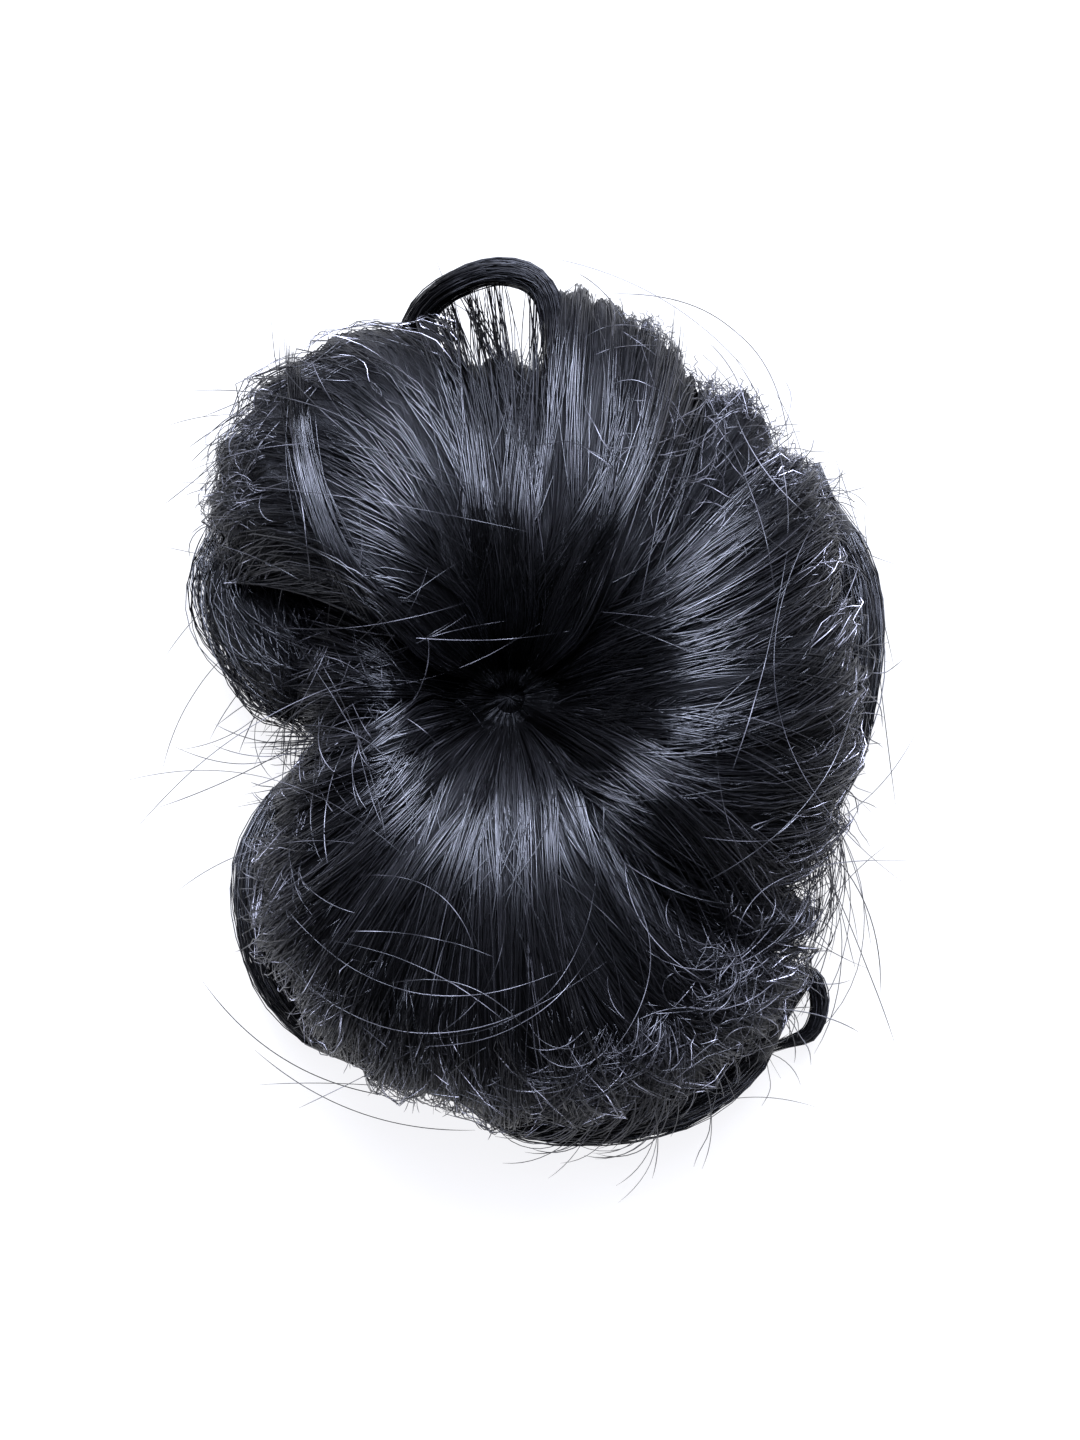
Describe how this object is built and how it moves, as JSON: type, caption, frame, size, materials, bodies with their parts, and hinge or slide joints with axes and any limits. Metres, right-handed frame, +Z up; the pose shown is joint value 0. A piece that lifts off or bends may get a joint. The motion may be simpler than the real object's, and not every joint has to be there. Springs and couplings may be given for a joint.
{
  "type": "top knot hairpiece",
  "caption": "Messy top knot hairpiece of glossy black synthetic hair, with rolled locks fanning out from a central pit, on a covered elastic ring that goes round a bun.",
  "frame": {"origin": "on the surface that the hairpiece lies on, under the middle of its bounding box", "axes": "+Z up out of the pit, away from the wearer's head; +Y towards the top of the picture, along the longest side"},
  "size_m": [0.11, 0.1412, 0.0491],
  "materials": {
    "hair": "glossy black synthetic fibre",
    "band_cover": "matt black knitted cover"
  },
  "bodies": {
    "root": {"elastic_band": "band_cover", "lock_bottom_left": "hair", "lock_bottom": "hair", "lock_bottom_right": "hair", "lock_lower_right": "hair", "lock_right_low": "hair", "lock_right_high": "hair", "lock_right_back": "hair", "lock_upper_right": "hair", "lock_upper_middle": "hair", "lock_upper_left": "hair", "lock_left_short": "hair", "roll_end_left": "hair", "rim_far_right": "hair", "rim_bottom": "hair", "rim_left": "hair", "loop_top": "hair", "curl_lower_right": "hair"}
  },
  "joints": []
}
